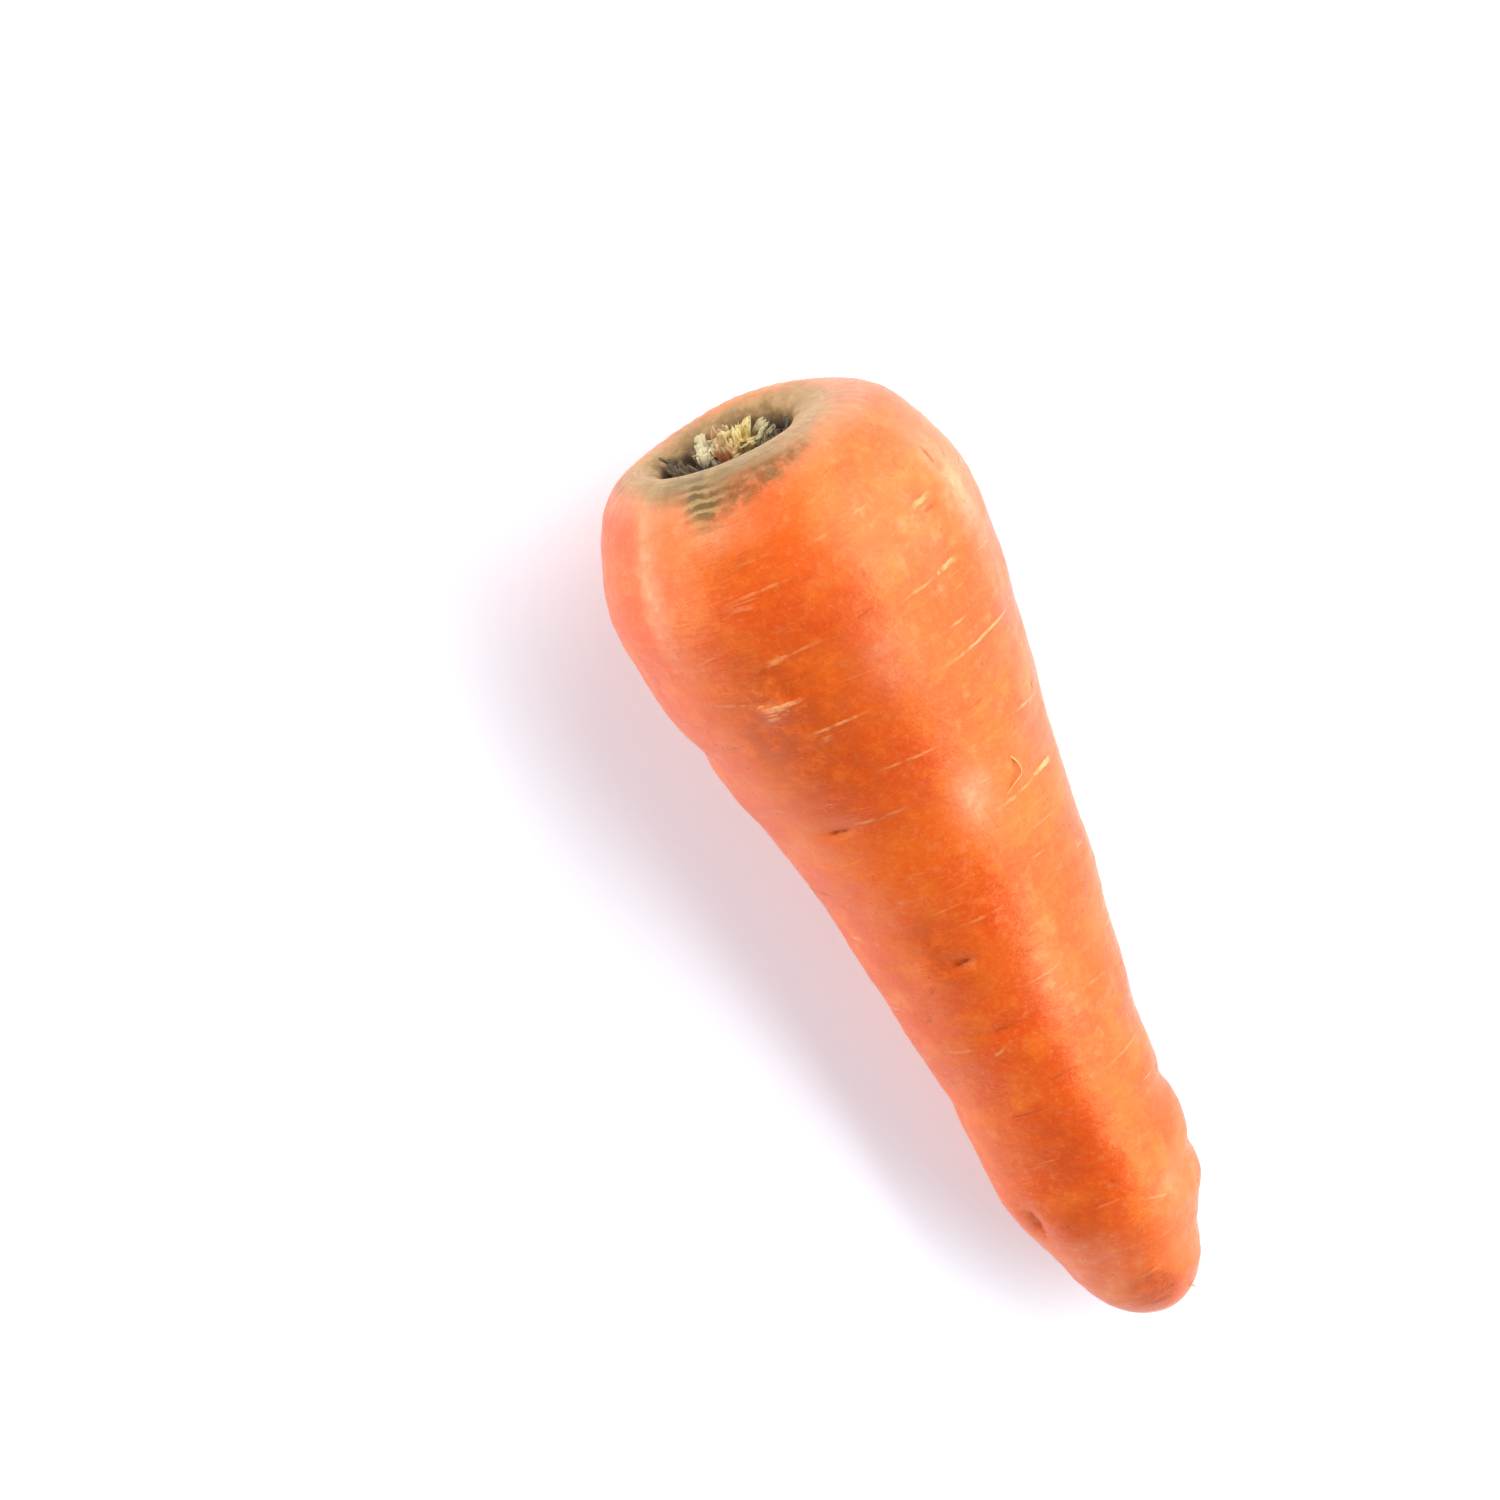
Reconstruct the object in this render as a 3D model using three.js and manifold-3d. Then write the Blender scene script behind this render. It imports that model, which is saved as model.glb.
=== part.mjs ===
// A topped carrot of the short, plump kind: one swollen taproot, and in the hollow of its crown
// the cut-off bases of its leaf stalks. It lies on its side on a level surface.
// Millimetres, +Z up. The crown points to -X and the tip to +X. The origin is on the surface,
// under the middle of the box that the carrot fills.

import * as THREE from "three";
import { mergeVertices } from "three/addons/utils/BufferGeometryUtils.js";
import Module from "manifold-3d";

const wasm = await Module();
wasm.setup();

// Driving dimensions.
const LENGTH = 156; // from the crown's rim to the tip
const GIRTH = 28.5; // the largest radius, at the shoulder
const GIRTH_AT = 22; // how far the shoulder is below the rim
const RIM = 15.2; // radius of the rim's crest, round the hollow in the crown
const HOLLOW = 5.8; // depth of that hollow below the crest
const LIE = 7.4; // degrees that the axis slopes, so that the underside lies level
const FLAT = 0.8; // how much of the underside is pressed flat where it rests

// The fineness of the root's mesh.
const RINGS = 94;
const SIDES = 48;

// The leaf stalks' bases in the hollow.
const GAP = 0.3; // between pieces that touch
const PLATE = 1.2; // thickness of the stem plate, in the bottom of the hollow
const PLATE_RADIUS = 9.0;
const PLATE_SEAT = HOLLOW - GAP; // how far below the rim its underside is
const OLD_BASES = 19; // the withered bases of the outer leaves, along the plate's edge
const TUFT_PAD = 0.9; // thickness of the common foot of the younger stalks
const TUFT_RADIUS = 6.3;
const TUFT_SEAT = PLATE_SEAT - PLATE - GAP;
const STUBS = 15; // the bases of the younger leaves, in the tuft
const CROWN_ASIDE = -5.0; // how far the crown's centre lies to +Y of the axis
const DEGREE = Math.PI / 180;
const GOLDEN_ANGLE = 137.5 * DEGREE; // from each leaf stalk to the next one

// The root's outline, from the middle of the hollow, over the rim and along the flank to the tip:
// [distance below the rim, radius, how far the ring's centre lies to +Y].
const OUTLINE = [
  [HOLLOW, 0, CROWN_ASIDE],
  [HOLLOW, 6, CROWN_ASIDE],
  [HOLLOW - 0.2, 9.0, CROWN_ASIDE],
  [4.2, 10.6, CROWN_ASIDE],
  [1.8, 11.5, -4.9],
  [0.9, 12.5, -4.8],
  [0.2, 13.9, -4.6],
  [0, RIM, -4.5],
  [0.35, 17, -4.2],
  [1.5, 19.4, -3.9],
  [4.6, 22.7, -3.6],
  [9.2, 25.5, -3.4],
  [15, 27.5, -3.2],
  [GIRTH_AT, GIRTH, -3.1],
  [30, 28.1, -2.8],
  [42, 26.2, -2.1],
  [54, 23.7, -1.4],
  [66, 21.3, -0.7],
  [79, 19.8, -0.2],
  [92, 18.1, -0.4],
  [106, 16.3, -0.5],
  [118, 15.3, -0.5],
  [127, 14.9, -0.3],
  [134, 13.9, 0],
  [140, 12.3, 0.1],
  [146, 10.1, 0],
  [150.5, 7.9, 0.1],
  [153.5, 5.7, 0.3],
  [LENGTH - 0.7, 2.8, 0.4],
  [LENGTH, 0, 0.4],
];

// Swellings and hollows of the flank. at is mm below the rim, side is degrees round the axis from
// +Y over the top, long and wide are half sizes along and round the root, and high is the height.
const SWELLINGS = [
  { at: 125.5, side: 4, long: 4.2, wide: 9, high: 0.7 },
  { at: 136.5, side: 8, long: 3.4, wide: 9, high: 0.7 },
  { at: 150, side: 14, long: 3.6, wide: 6, high: 0.3 },
  { at: 119.5, side: 2, long: 2.0, wide: 9, high: -0.4 },
  { at: 131.4, side: 6, long: 1.6, wide: 9, high: -0.5 },
  { at: 145, side: 30, long: 2.4, wide: 8, high: -0.3 },
  { at: 37, side: 128, long: 9, wide: 8, high: -0.7 },
  { at: 79, side: 113, long: 5, wide: 6, high: -0.7 },
  { at: 126, side: 108, long: 8, wide: 6, high: -0.5 },
  { at: 18, side: 24, long: 13, wide: 6, high: 0.5 },
  { at: 24, side: 46, long: 14, wide: 4, high: -0.4 },
  { at: 60, side: 205, long: 16, wide: 10, high: 0.8 },
  { at: 72, side: 320, long: 12, wide: 9, high: -0.9 },
  { at: 44, side: 255, long: 12, wide: 12, high: -0.7 },
  { at: 112, side: 232, long: 8, wide: 8, high: 0.8 },
  { at: 128, side: 172, long: 9, wide: 8, high: 0.6 },
  { at: 104, side: 300, long: 7, wide: 8, high: 0.6 },
];

// Scars, where side roots grew: most are short grooves that run round the root.
const SCARS = [
  { at: 34, side: 116, long: 1.6, wide: 5, high: 0.4 },
  { at: 57, side: 124, long: 1.6, wide: 5, high: -0.5 },
  { at: 84, side: 109, long: 1.6, wide: 3, high: -0.8 },
  { at: 96.5, side: 106, long: 1.6, wide: 4, high: -0.4 },
  { at: 131, side: 150, long: 4, wide: 2, high: -0.7 },
  { at: 133, side: 63, long: 1.7, wide: 5, high: -0.5 },
  { at: 16, side: 44, long: 1.7, wide: 4, high: -0.5 },
  { at: 26, side: 46, long: 1.6, wide: 4, high: -0.4 },
  { at: 63, side: 41, long: 1.8, wide: 9, high: -0.4 },
  { at: 43, side: 182, long: 2.2, wide: 7, high: -0.7 },
  { at: 27, side: 215, long: 1.8, wide: 9, high: -0.6 },
  { at: 80, side: 228, long: 1.8, wide: 7, high: -0.7 },
  { at: 110, side: 196, long: 1.8, wide: 5, high: -0.6 },
  { at: 70, side: 262, long: 1.8, wide: 8, high: -0.6 },
  { at: 22, side: 288, long: 1.8, wide: 8, high: -0.5 },
  { at: 120, side: 285, long: 1.8, wide: 6, high: -0.7 },
  { at: 47, side: 318, long: 1.8, wide: 9, high: -0.6 },
  { at: 100, side: 342, long: 1.8, wide: 6, high: -0.7 },
];

const FORMS = [...SWELLINGS, ...SCARS];
const smooth = THREE.MathUtils.smoothstep;

// How far the root's section is from round, as a share of its radius: a little oval and lobed.
function lobes(down, turn) {
  const oval = 0.012 * Math.cos(2 * turn - 1.2);
  const three = 0.012 * Math.cos(3 * turn + 0.9 + down / 90);
  const five = 0.005 * Math.cos(5 * turn + down / 25);
  return oval + three + five;
}

// Height at one place of a swelling, hollow or scar, which falls off on all sides as a bell does.
function bell(form, down, turn, radius) {
  const apart = turn - form.side * DEGREE;
  const round = (Math.atan2(Math.sin(apart), Math.cos(apart)) * radius) / form.wide;
  const along = (down - form.at) / form.long;
  return form.high * Math.exp(-(along * along) - round * round);
}

// The fine rings that run round the whole flank.
function ripple(down, turn) {
  return 0.12 * Math.sin(down / 2.6 + 1.3 * Math.sin(turn) + 0.8 * Math.cos(2 * turn));
}

// How far the rim stands above or below its own level, which fades out over the shoulder.
function rimWave(ring, turn) {
  const wave = 0.4 * Math.sin(2 * turn + 0.7) + 0.25 * Math.sin(3 * turn + 2.1);
  if (ring.down > GIRTH_AT) return 0;
  return wave * (ring.flank ? 1 - smooth(ring.radius, RIM, 24) : smooth(ring.radius, 10, RIM));
}

// A point of the root's surface: x runs down the axis, and turn from +Y over the top.
function surface(ring, turn) {
  let relief = 0;
  if (ring.flank) {
    for (const form of FORMS) relief += bell(form, ring.down, turn, ring.radius);
    relief += ripple(ring.down, turn);
  }
  const radius = ring.radius * (1 + lobes(ring.down, turn)) + relief * smooth(ring.radius, 0, 8);
  const x = ring.down + rimWave(ring, turn);
  return new THREE.Vector3(x, ring.aside + radius * Math.cos(turn), radius * Math.sin(turn));
}

// The rings of the outline, evenly spaced along it. The flank starts outside the rim's crest.
function outlineRings() {
  const stations = OUTLINE.map(([down, radius, aside]) => new THREE.Vector3(down, radius, aside));
  const curve = new THREE.CatmullRomCurve3(stations, false, "centripetal");
  const rings = curve.getSpacedPoints(RINGS).map((p) => ({ down: p.x, radius: p.y, aside: p.z }));
  rings[0].radius = 0;
  rings[RINGS].radius = 0;
  const crest = rings.findIndex((ring) => ring.radius > RIM);
  rings.forEach((ring, i) => {
    ring.flank = i > crest && i < RINGS;
  });
  return rings;
}

function plainGeometry(geometry) {
  geometry.deleteAttribute("normal");
  geometry.deleteAttribute("uv");
  return mergeVertices(geometry, 1e-4);
}

// A lathe turned about the carrot's own axis, +X: points are [distance below the rim, radius].
function turned(points, sides) {
  const profile = points.map(([down, radius]) => new THREE.Vector2(radius, -down));
  return new THREE.LatheGeometry(profile, sides).rotateZ(Math.PI / 2);
}

// The root: its outline turned round, and each point then moved to where the surface really is.
function rootGeometry() {
  const rings = outlineRings();
  const geometry = turned(
    rings.map((ring) => [ring.down, ring.radius]),
    SIDES,
  );
  const place = geometry.attributes.position;
  for (let k = 0; k < place.count; k++) {
    const side = Math.floor(k / rings.length) % SIDES;
    const point = surface(rings[k % rings.length], (2 * Math.PI * side) / SIDES);
    place.setXYZ(k, point.x, point.y, point.z);
  }
  return plainGeometry(geometry);
}

function solidOf(geometry) {
  const plain = plainGeometry(geometry);
  const mesh = new wasm.Mesh({
    numProp: 3,
    vertProperties: plain.attributes.position.array,
    triVerts: new Uint32Array(plain.index.array),
  });
  return new wasm.Manifold(mesh);
}

function geometryOf(solid) {
  const mesh = solid.getMesh();
  const geometry = new THREE.BufferGeometry();
  geometry.setAttribute("position", new THREE.BufferAttribute(new Float32Array(mesh.vertProperties), 3));
  geometry.setIndex(new THREE.BufferAttribute(new Uint32Array(mesh.triVerts), 1));
  return geometry;
}

// A leaf stalk's cut base: a strip whose section curls round the carrot's axis, which narrows and
// leans out as it rises and ends in a torn edge. foot and top are [distance below the rim, radius].
function stalkBase({ turn, foot, top, wide, thick, ragged }) {
  const STEPS_ACROSS = 4;
  const STEPS_UP = 3;
  const CURL = 0.45; // how far the strip's edges lie inward, as a share of its width
  const TAPER = 0.3;
  const outer = [];
  const inner = [];
  for (let i = 0; i <= STEPS_ACROSS; i++) {
    const share = i / STEPS_ACROSS - 0.5;
    const curl = 4 * CURL * wide * share * share;
    outer.push(new THREE.Vector2(share * wide, -curl));
    inner.unshift(new THREE.Vector2(share * wide * 0.9, -curl - thick));
  }
  const section = new THREE.Shape([...outer, ...inner.slice(1, -1)]);
  const geometry = new THREE.ExtrudeGeometry(section, { depth: 1, steps: STEPS_UP, bevelEnabled: false });
  const place = geometry.attributes.position;
  for (let k = 0; k < place.count; k++) {
    const across = place.getX(k);
    const outward = place.getY(k);
    const torn = place.getZ(k) === 1 ? 1 + (ragged / 3) * Math.sin(9 * across + 5 * turn) : 1;
    const up = place.getZ(k) * torn;
    const narrow = 1 - TAPER * up;
    const down = THREE.MathUtils.lerp(foot[0], top[0], up);
    const radius = THREE.MathUtils.lerp(foot[1], top[1], up);
    place.setXYZ(k, down, radius + outward * narrow, across * narrow);
  }
  return geometry.rotateX(turn);
}

// A round pad with a soft edge. Its underside is at seat, and it rises towards the rim.
function pad(seat, radius, thick, sides) {
  const EDGE = 0.6;
  const profile = [
    [seat, 0],
    [seat, radius - EDGE],
    [seat - thick / 2, radius],
    [seat - thick, radius - EDGE],
    [seat - thick, 0],
  ];
  return solidOf(turned(profile, sides));
}

// The stem plate at the bottom of the hollow, with the dark, withered bases of the outer leaves.
function oldBasesGeometry() {
  const foot = PLATE_SEAT - 0.4;
  let solid = pad(PLATE_SEAT, PLATE_RADIUS, PLATE, 28);
  for (let i = 0; i < OLD_BASES; i++) {
    const height = 2.7 + 0.9 * Math.sin(2.3 * i);
    const inward = i % 3 === 2 ? 1.1 : 0;
    const base = stalkBase({
      turn: i * GOLDEN_ANGLE,
      foot: [foot, 8.1 - inward],
      top: [foot - height, 10.2 - 1.4 * inward],
      wide: 3.0 + 0.7 * Math.sin(1.7 * i),
      thick: 0.8,
      ragged: 0.7,
    });
    solid = solid.add(solidOf(base));
  }
  return geometryOf(solid);
}

// The younger, straw-coloured stalk bases, in a tuft on a foot of their own.
function stubsGeometry() {
  const foot = TUFT_SEAT - 0.3;
  let solid = pad(TUFT_SEAT, TUFT_RADIUS, TUFT_PAD, 24);
  for (let i = 0; i < STUBS; i++) {
    const spread = Math.sqrt((i + 0.5) / STUBS);
    const height = 3.6 - 0.9 * spread + 0.9 * Math.sin(2.9 * i);
    const base = stalkBase({
      turn: i * GOLDEN_ANGLE + 0.4,
      foot: [foot, 5.2 * spread],
      top: [foot - height, 7.0 * spread],
      wide: 2.3 + 0.8 * spread,
      thick: 0.9,
      ragged: 0.8,
    });
    solid = solid.add(solidOf(base));
  }
  return geometryOf(solid);
}

// Lays the carrot down: the crown's end rises by LIE, the middle of the box comes over the
// origin, and what would be under the surface is pressed flat.
function layDown(taproot, others) {
  const all = [taproot, ...others];
  for (const geometry of all) geometry.rotateY(LIE * DEGREE);
  taproot.computeBoundingBox();
  const shift = taproot.boundingBox.getCenter(new THREE.Vector3()).negate();
  shift.z = -taproot.boundingBox.min.z - FLAT;
  for (const geometry of all) geometry.translate(shift.x, shift.y, shift.z);
  const place = taproot.attributes.position;
  for (let k = 0; k < place.count; k++) place.setZ(k, Math.max(0, place.getZ(k)));
}

function piece(name, geometry, finish) {
  geometry.computeVertexNormals();
  const mesh = new THREE.Mesh(geometry, new THREE.MeshStandardMaterial(finish));
  mesh.name = name;
  return mesh;
}

const taproot = rootGeometry();
const oldBases = oldBasesGeometry().translate(0, CROWN_ASIDE, 0);
const stubs = stubsGeometry().translate(0, CROWN_ASIDE, 0);
layDown(taproot, [oldBases, stubs]);

const carrot = new THREE.Group();
carrot.add(piece("taproot", taproot, { color: 0xe8711f, roughness: 0.5, metalness: 0 }));
carrot.add(piece("old_stalk_bases", oldBases, { color: 0x453526, roughness: 0.9, metalness: 0 }));
carrot.add(piece("leaf_stalk_stubs", stubs, { color: 0xc9ae62, roughness: 0.8, metalness: 0 }));

export default carrot;
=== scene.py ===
# %% [markdown]
# # A topped carrot, lying on its side
# This lesson dresses a plain carrot model: a plump root, and in the hollow of its crown what is
# left of the cut leaf stalks. The plain model gives the sizes and the place of each piece. Here
# each piece is made again with a fine surface, and gets a finish worked out from noise and from
# what a carrot's skin is like.

# %% Load the frame
import math

import bpy
import numpy as np
from mathutils import Matrix, Vector, kdtree, noise


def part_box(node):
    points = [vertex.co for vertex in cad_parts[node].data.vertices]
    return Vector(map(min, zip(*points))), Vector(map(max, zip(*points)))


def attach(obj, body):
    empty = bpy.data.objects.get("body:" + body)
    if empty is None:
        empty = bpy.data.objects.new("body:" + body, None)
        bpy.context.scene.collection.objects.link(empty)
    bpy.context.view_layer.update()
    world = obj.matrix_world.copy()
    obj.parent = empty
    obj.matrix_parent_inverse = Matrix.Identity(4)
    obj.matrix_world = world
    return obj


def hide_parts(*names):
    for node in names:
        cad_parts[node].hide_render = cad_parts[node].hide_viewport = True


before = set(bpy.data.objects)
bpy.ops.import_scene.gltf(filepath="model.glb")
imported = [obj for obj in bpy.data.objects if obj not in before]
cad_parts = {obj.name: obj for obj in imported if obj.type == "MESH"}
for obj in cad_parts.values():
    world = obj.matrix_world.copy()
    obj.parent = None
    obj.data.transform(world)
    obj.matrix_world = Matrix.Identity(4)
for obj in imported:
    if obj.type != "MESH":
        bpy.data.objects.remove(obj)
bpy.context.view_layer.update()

print("pieces of the plain model:", sorted(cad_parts))

# %% [markdown]
# ## The sizes
# A root is easiest to describe as it grew: by how far a place is below the crown's rim, and by
# which side of the axis it is on. So all sizes here are in millimetres in the root's own frame,
# with x down its axis, and sides are degrees round it: 0 is the right flank, seen from the crown,
# 90 the top and 270 the underside.

# %% Sizes of the root
LENGTH = 156  # from the crown's rim to the tip
GIRTH = 28.5  # the largest radius, at the shoulder
GIRTH_AT = 22
RIM = 15.2  # radius of the rim's crest
HOLLOW = 5.8  # depth of the hollow in the crown
CROWN_ASIDE = -5.0  # how far the crown's centre is off the axis
LIE = math.radians(7.4)  # slope of the axis, so that the underside lies level
FLAT = 0.8  # how much of the underside is pressed flat
MM = 0.001

# %% [markdown]
# ## The outline
# A potter would throw this shape on a wheel, and a lathe can turn it from one curve. A few
# stations along that curve are enough where the shape changes slowly, and a centripetal
# Catmull-Rom curve goes through all of them without overshooting at the tight rim. Each station
# also says how far its ring is off the axis, because a root never grows quite straight.

# %% Stations of the outline
# Distance below the rim, radius, and how far the ring's centre is aside.
OUTLINE = [
    (HOLLOW, 0, CROWN_ASIDE),
    (HOLLOW, 6, CROWN_ASIDE),
    (HOLLOW - 0.2, 9.0, CROWN_ASIDE),
    (4.2, 10.6, CROWN_ASIDE),
    (1.8, 11.5, -4.9),
    (0.9, 12.5, -4.8),
    (0.2, 13.9, -4.6),
    (0, RIM, -4.5),
    (0.35, 17, -4.2),
    (1.5, 19.4, -3.9),
    (4.6, 22.7, -3.6),
    (9.2, 25.5, -3.4),
    (15, 27.5, -3.2),
    (GIRTH_AT, GIRTH, -3.1),
    (30, 28.1, -2.8),
    (42, 26.2, -2.1),
    (54, 23.7, -1.4),
    (66, 21.3, -0.7),
    (79, 19.8, -0.2),
    (92, 18.1, -0.4),
    (106, 16.3, -0.5),
    (118, 15.3, -0.5),
    (127, 14.9, -0.3),
    (134, 13.9, 0),
    (140, 12.3, 0.1),
    (146, 10.1, 0),
    (150.5, 7.9, 0.1),
    (153.5, 5.7, 0.3),
    (LENGTH - 0.7, 2.8, 0.4),
    (LENGTH, 0, 0.4),
]

# %% A smooth curve through the stations
def smooth_curve(stations, steps=60):
    """Points on the centripetal Catmull-Rom curve through the stations."""
    knots = np.array(stations, float)
    ends = [2 * knots[0] - knots[1], 2 * knots[-1] - knots[-2]]
    knots = np.vstack([ends[0], knots, ends[1]])
    share = np.linspace(0, 1, steps, endpoint=False)[:, None]
    pieces = []
    for before, start, end, after in zip(knots, knots[1:], knots[2:], knots[3:]):
        gap_before = np.linalg.norm(start - before) ** 0.5
        gap = np.linalg.norm(end - start) ** 0.5
        gap_after = np.linalg.norm(after - end) ** 0.5
        leave = (start - before) / gap_before - (end - before) / (gap_before + gap)
        leave = (leave + (end - start) / gap) * gap
        arrive = (end - start) / gap - (after - start) / (gap + gap_after)
        arrive = (arrive + (after - end) / gap_after) * gap
        bend = 3 * (end - start) - 2 * leave - arrive
        twist = 2 * (start - end) + leave + arrive
        pieces.append(start + share * (leave + share * (bend + share * twist)))
    return np.vstack(pieces + [knots[-2:-1]])


def even_rings(curve, count):
    """Places every ring the same distance along the curve from the last one."""
    along = np.concatenate([[0], np.cumsum(np.linalg.norm(np.diff(curve, axis=0), axis=1))])
    wanted = np.linspace(0, along[-1], count + 1)
    rings = np.column_stack([np.interp(wanted, along, curve[:, i]) for i in range(3)])
    return rings, wanted


RINGS = 436
SIDES = 226
rings, along = even_rings(smooth_curve(OUTLINE), RINGS)
rings[0, 1] = rings[-1, 1] = 0
crest = int(np.argmax(rings[:, 1] > RIM))
turns = np.linspace(0, 2 * math.pi, SIDES, endpoint=False)

# Grids with a row for each ring and a column for each side.
down, turn = np.meshgrid(rings[:, 0], turns, indexing="ij")
round_radius, _ = np.meshgrid(rings[:, 1], turns, indexing="ij")
aside, _ = np.meshgrid(rings[:, 2], turns, indexing="ij")
arc, _ = np.meshgrid(along - along[crest], turns, indexing="ij")  # from the rim's crest outwards
print("the outline is", round(along[-1], 1), "mm long, and its crest is ring", crest)

# %% [markdown]
# ## Swellings and scars
# Seen from a step away, a carrot's shape is its taper plus a few dozen soft forms: shallow
# swellings, dents, and short grooves across it where side roots grew. They could be sculpted by
# hand. A list of bells is easier to read and to change: each has a place, two half sizes and a
# height, and they simply add up.

# %% Swellings, dents and scars
# At (mm below the rim), side (degrees), half size along, half size round, height.
SWELLINGS = [
    (125.5, 4, 4.2, 9, 0.7),
    (136.5, 8, 3.4, 9, 0.7),
    (150, 14, 3.6, 6, 0.3),
    (119.5, 2, 2.0, 9, -0.4),
    (131.4, 6, 1.6, 9, -0.5),
    (145, 30, 2.4, 8, -0.3),
    (37, 128, 9, 8, -0.7),
    (79, 113, 5, 6, -0.7),
    (126, 108, 8, 6, -0.5),
    (18, 24, 13, 6, 0.5),
    (24, 46, 14, 4, -0.4),
    (60, 205, 16, 10, 0.8),
    (72, 320, 12, 9, -0.9),
    (44, 255, 12, 12, -0.7),
    (112, 232, 8, 8, 0.8),
    (128, 172, 9, 8, 0.6),
    (104, 300, 7, 8, 0.6),
]
SCARS = [
    (34, 116, 1.6, 5, 0.4),
    (57, 124, 1.6, 5, -0.5),
    (84, 109, 1.6, 3, -0.8),
    (96.5, 106, 1.6, 4, -0.4),
    (131, 150, 4, 2, -0.7),
    (133, 63, 1.7, 5, -0.5),
    (16, 44, 1.7, 4, -0.5),
    (26, 46, 1.6, 4, -0.4),
    (63, 41, 1.8, 9, -0.4),
    (43, 182, 2.2, 7, -0.7),
    (27, 215, 1.8, 9, -0.6),
    (80, 228, 1.8, 7, -0.7),
    (110, 196, 1.8, 5, -0.6),
    (70, 262, 1.8, 8, -0.6),
    (22, 288, 1.8, 8, -0.5),
    (120, 285, 1.8, 6, -0.7),
    (47, 318, 1.8, 9, -0.6),
    (100, 342, 1.8, 6, -0.7),
]


def smoothstep(value, low, high):
    share = np.clip((value - low) / (high - low), 0, 1)
    return share * share * (3 - 2 * share)


def bell(at, side, half_long, half_wide, measured=down):
    """1 at one place of the skin, and less all round it."""
    apart = turn - math.radians(side)
    across = np.arctan2(np.sin(apart), np.cos(apart)) * round_radius / half_wide
    lengthwise = (measured - at) / half_long
    return np.exp(-lengthwise**2 - across**2)


flank = smoothstep(arc, 0, 3)  # 0 on the rim and in the hollow, 1 on the skin outside
relief = sum(high * bell(*place) for *place, high in SWELLINGS + SCARS)
print("relief from", round(relief.min(), 2), "to", round(relief.max(), 2), "mm")

# %% [markdown]
# ## The section
# No root is quite round. A little of a two-, three- and five-lobed wave makes the section uneven,
# and faint rings run round the whole flank, as they do where the root thickened week by week.
# The rim of the crown rises and falls a little too.

# %% Lobes, rings and the waving rim
lobes = 0.012 * np.cos(2 * turn - 1.2)
lobes += 0.012 * np.cos(3 * turn + 0.9 + down / 90)
lobes += 0.005 * np.cos(5 * turn + down / 25)
relief += 0.12 * np.sin(down / 2.6 + 1.3 * np.sin(turn) + 0.8 * np.cos(2 * turn))
wave = 0.4 * np.sin(2 * turn + 0.7) + 0.25 * np.sin(3 * turn + 2.1)
on_shoulder = (1 - smoothstep(round_radius, RIM, 24)) * (down < GIRTH_AT)
on_wall = smoothstep(round_radius, 10, RIM)
rim_wave = wave * np.where(arc > 0, on_shoulder, on_wall)

# %% [markdown]
# ## Small marks
# The skin carries pale corky lines that run round the root, with here and there a dark scar or a
# pit. An image would be the usual way. Without one, each mark is a place, a length and a lean, and
# every point of the skin is told where it lies in the frame of the mark nearest to it. Those two
# numbers change evenly over the skin, so a material can draw the line from them as thin and
# crisp as it likes, however coarse the mesh is.

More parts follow.
